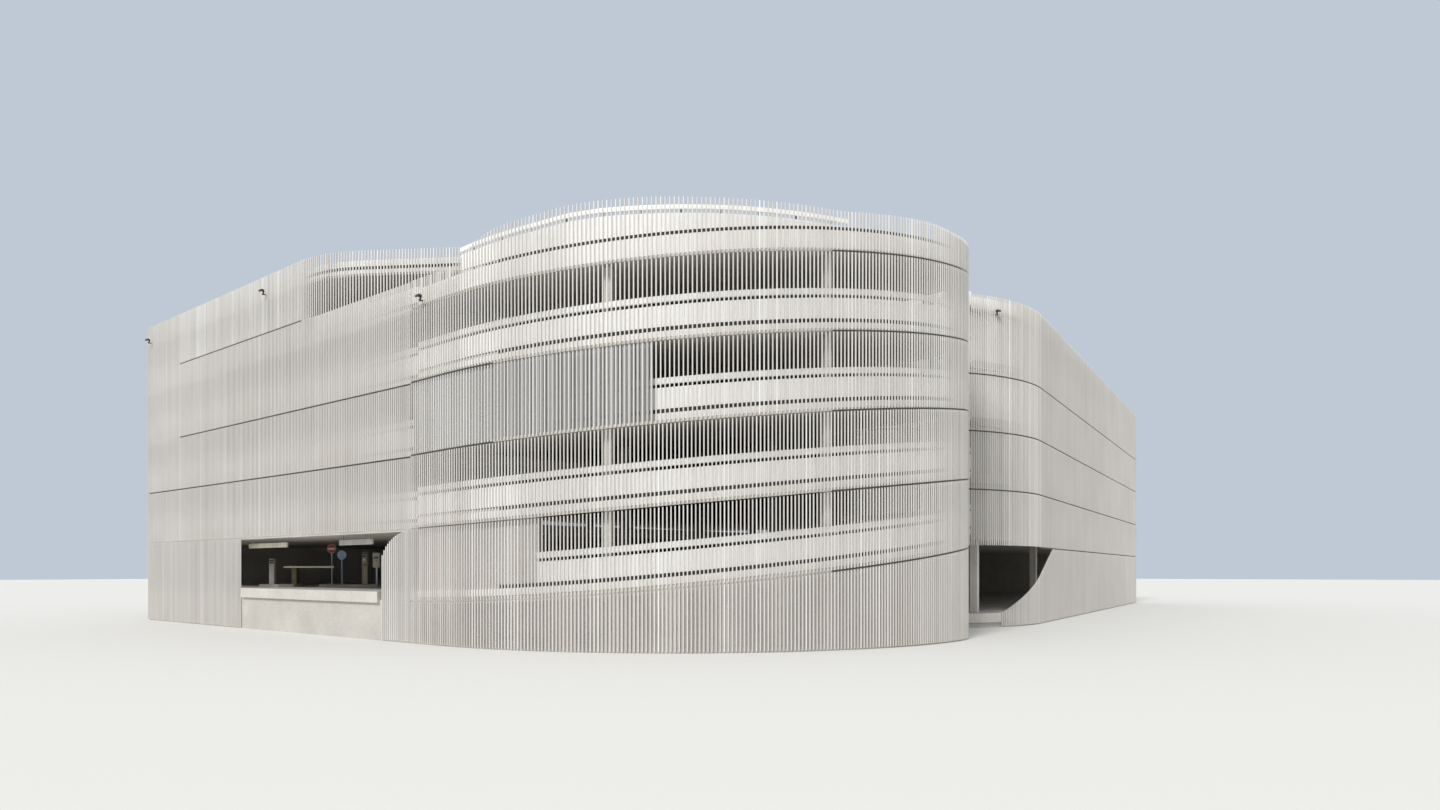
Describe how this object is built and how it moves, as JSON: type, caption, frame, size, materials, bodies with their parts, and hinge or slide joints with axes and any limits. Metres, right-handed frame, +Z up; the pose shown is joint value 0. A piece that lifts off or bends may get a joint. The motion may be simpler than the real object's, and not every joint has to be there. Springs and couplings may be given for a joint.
{
  "type": "multi-storey car park with a curtain of upright fins, scale model 1:2",
  "caption": "Multi-storey car park at 1:2: decks behind a curtain of upright metal fins, a rounded ramp corner, two openings for cars and a lifting barrier.",
  "frame": {"origin": "on the lowest ground, under the middle of the building's width and depth", "axes": "+X to the right along the back wall, +Y from the front to the back along the right wall, +Z up"},
  "size_m": [24, 34.9797, 8.88],
  "materials": {
    "fins": "satin",
    "concrete": "matte",
    "parapet": "matte",
    "screen": "satin",
    "kerb": "matte",
    "machine": "satin",
    "cabinet": "satin",
    "boom": "satin",
    "pole": "satin",
    "bar": "satin",
    "lamp": "matte"
  },
  "bodies": {
    "building": {"ramp_deck_0": "concrete", "ramp_deck_1": "concrete", "ramp_deck_2": "concrete", "ramp_deck_3": "concrete", "ramp_deck_4": "concrete", "deck_1": "concrete", "deck_2": "concrete", "deck_3": "concrete", "deck_4": "concrete", "roof_deck": "concrete", "ground_deck": "concrete", "lower_ground_deck": "concrete", "foundation_front": "concrete", "foundation_drum": "concrete", "foundation_right": "concrete", "foundation_back": "concrete", "foundation_side": "concrete", "retaining_wall": "concrete", "columns": "concrete", "front_wall": "concrete", "side_wall": "concrete", "back_wall": "concrete", "corner_wall": "concrete", "roof_upstand": "concrete", "deck_parapet_1": "parapet", "deck_parapet_2": "parapet", "deck_parapet_3": "parapet", "deck_parapet_4": "parapet", "ramp_parapets": "parapet", "slat_screen": "screen", "front_fins": "fins", "front_crown_fins": "fins", "front_lower_left_fins": "fins", "front_lower_right_fins": "fins", "drum_fins_1": "fins", "drum_fins_2": "fins", "drum_fins_3": "fins", "drum_fins_4": "fins", "drum_end_fins_1": "fins", "drum_end_fins_2": "fins", "notch_fins": "fins", "corner_fins_1": "fins", "corner_fins_2": "fins", "corner_fins_3": "fins", "right_fins": "fins", "right_lower_fins": "fins", "back_fins": "fins", "side_fins": "fins", "roof_screen_front_fins": "fins", "roof_screen_ramp_fins": "fins", "islands": "kerb", "ticket_column": "machine", "pay_station": "machine", "exit_reader": "machine", "barrier_cabinet": "cabinet", "sign_posts": "pole", "height_bars": "bar", "wall_lamps": "lamp"},
    "boom_inner": {"boom_inner": "boom"},
    "boom_outer": {"boom_outer": "boom"}
  },
  "joints": [
    {"name": "barrier_lift", "type": "hinge", "parent": "building", "child": "boom_inner", "pos_m": [-5.80308, -14.0016, 1.6], "axis": [0.5045, -0.8634, 0], "range_deg": [0, 90]},
    {"name": "barrier_knuckle", "type": "hinge", "parent": "boom_inner", "child": "boom_outer", "pos_m": [-5.33135, -13.75838, 1.6], "axis": [0.5045, -0.8634, 0], "range_deg": [-90, 0]}
  ],
  "couplings": [
    {"joint": "barrier_knuckle", "follows": "barrier_lift", "ratio": -1}
  ]
}
